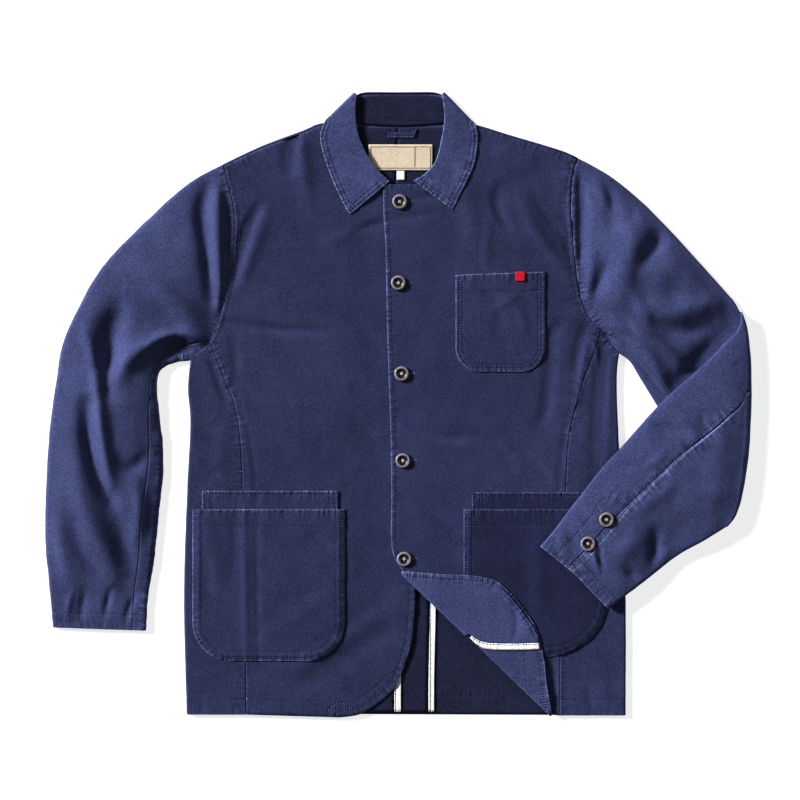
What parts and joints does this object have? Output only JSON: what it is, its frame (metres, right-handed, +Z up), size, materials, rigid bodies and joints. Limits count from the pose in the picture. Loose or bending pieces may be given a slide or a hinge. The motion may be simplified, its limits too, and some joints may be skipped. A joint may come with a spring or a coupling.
{
  "type": "work jacket laid flat",
  "caption": "Unlined cotton-twill work jacket laid flat and buttoned, with a shirt collar, patch pockets, one sleeve folded at the elbow and one hem corner turned up.",
  "frame": {"origin": "middle of the jacket's outline, on the surface it lies on", "axes": "+X towards the wearer's left side, +Y towards the collar, +Z up from the surface"},
  "size_m": [0.8829, 0.7831, 0.0231],
  "materials": {
    "twill": "matte",
    "binding": "matte",
    "label": "matte",
    "tab": "matte",
    "horn": "satin"
  },
  "bodies": {
    "root": {"back_left": "twill", "back_right": "twill", "chest_pocket": "twill", "chest_tab": "tab", "collar_fall": "twill", "collar_stand": "twill", "cuff_button_1": "horn", "cuff_button_2": "horn", "facing_binding": "binding", "front_button_1": "horn", "front_button_2": "horn", "front_button_3": "horn", "front_button_4": "horn", "front_button_5": "horn", "front_left": "twill", "front_left_facing": "twill", "front_right": "twill", "hanger_loop": "twill", "neck_label": "label", "pocket_left_inner": "twill", "pocket_left_outer": "twill", "pocket_right_inner": "twill", "pocket_right_outer": "twill", "side_left": "twill", "side_right": "twill", "size_tab": "binding", "sleeve_left_top": "twill", "sleeve_left_under": "twill", "sleeve_right_top": "twill", "sleeve_right_under": "twill", "vent_facing": "twill", "vent_facing_binding": "binding", "vent_underlap": "twill", "vent_underlap_binding": "binding"}
  },
  "joints": []
}
